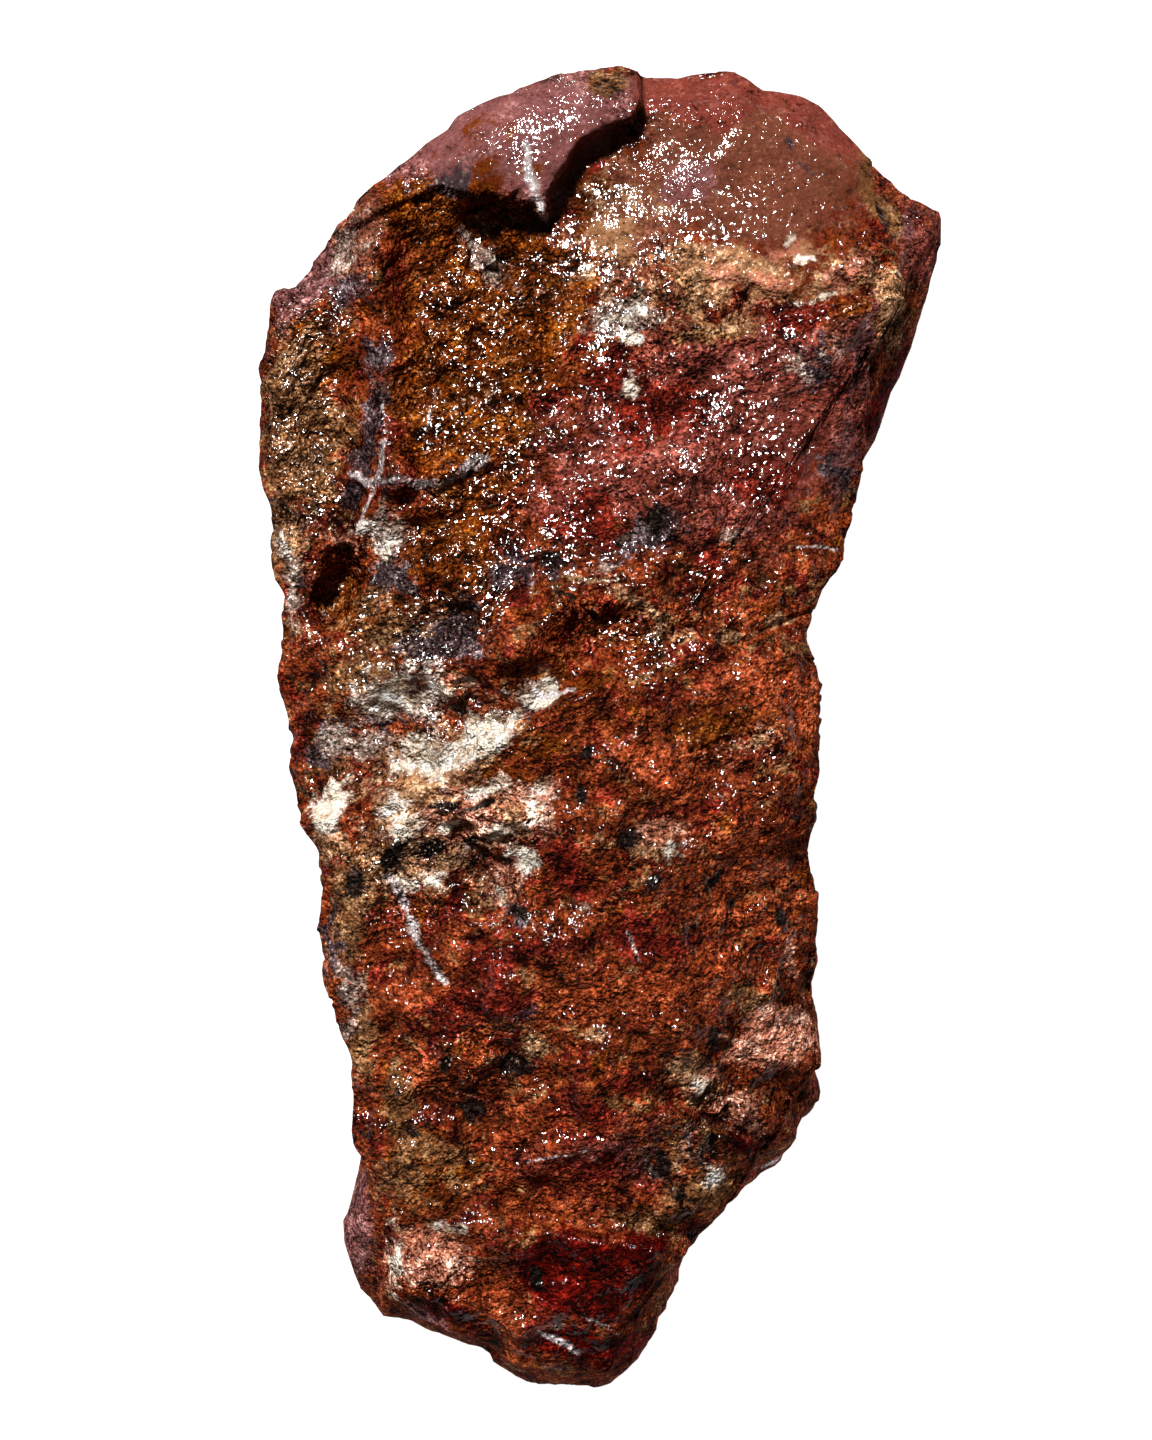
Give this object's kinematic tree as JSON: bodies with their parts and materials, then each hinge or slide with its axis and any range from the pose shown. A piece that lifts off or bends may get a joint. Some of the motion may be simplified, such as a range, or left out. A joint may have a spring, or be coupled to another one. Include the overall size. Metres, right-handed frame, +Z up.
{
  "type": "red jasper",
  "caption": "Rough, wet red jasper: a long broken slab of stone with a flap, ledges, pits and quartz veins on its face, lying on its back.",
  "frame": {"origin": "on the bed that the stone lies on, under the middle of its bounding box", "axes": "+Z up, out of the stone's front face; +Y along its length, towards its broad end; +X to the right as the front face is seen with the broad end up"},
  "size_m": [0.083, 0.16, 0.0397],
  "materials": {
    "wet_red_jasper": "wet, rough broken jasper, red and rust brown with ochre, mauve and white quartz"
  },
  "bodies": {
    "root": {"red_jasper": "wet_red_jasper"}
  },
  "joints": []
}
